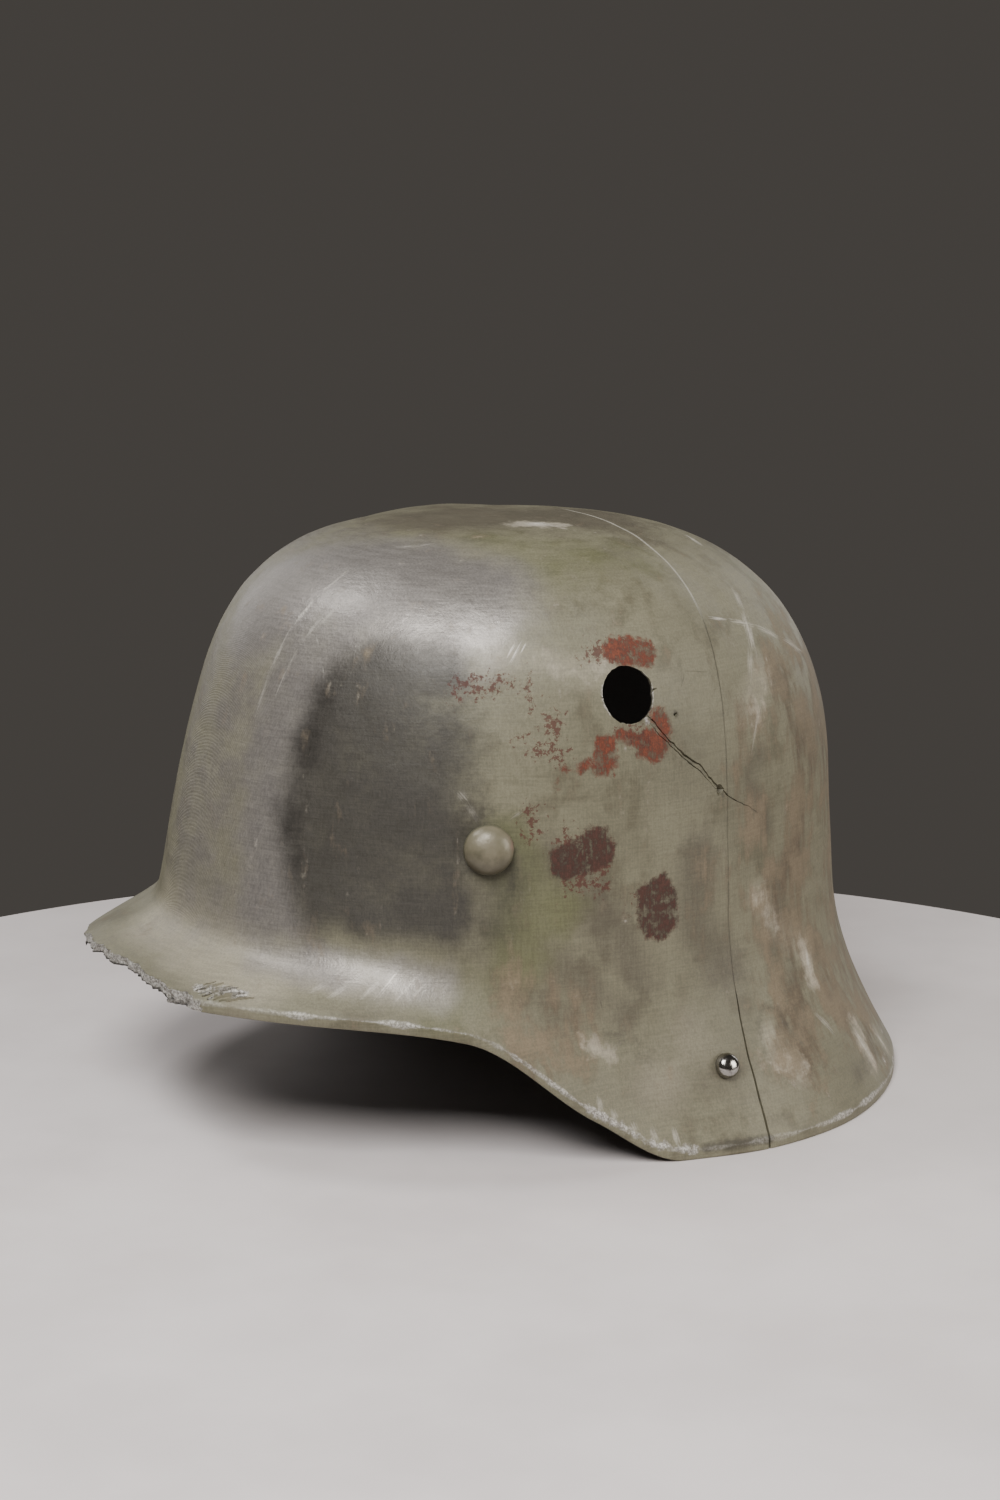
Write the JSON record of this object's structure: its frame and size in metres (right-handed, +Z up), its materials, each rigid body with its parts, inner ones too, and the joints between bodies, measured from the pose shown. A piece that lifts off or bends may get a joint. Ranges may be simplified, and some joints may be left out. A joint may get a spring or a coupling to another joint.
{
  "type": "steel helmet",
  "caption": "Steel helmet with a rounded dome, broken peak, ear skirts and neck guard, with a shot hole in its left side and a seam across the crown.",
  "frame": {"origin": "on the ground under the middle of the helmet's bounding box", "axes": "+Z up, -Y to the peak, +X to the wearer's left"},
  "size_m": [0.245, 0.2838, 0.1914],
  "materials": {
    "shell_paint": "olive green paint rubbed with graphite, satin, scuffed and stained",
    "shell_paint_rear": "olive green paint under brown dust, dull satin",
    "lug_paint": "olive beige paint, satin",
    "polished_steel": "polished dark steel"
  },
  "bodies": {
    "root": {"front_shell": "shell_paint", "rear_shell": "shell_paint_rear", "vent_lug_left": "lug_paint", "vent_lug_right": "lug_paint", "strap_rivet_left": "polished_steel", "strap_rivet_right": "polished_steel"}
  },
  "joints": []
}
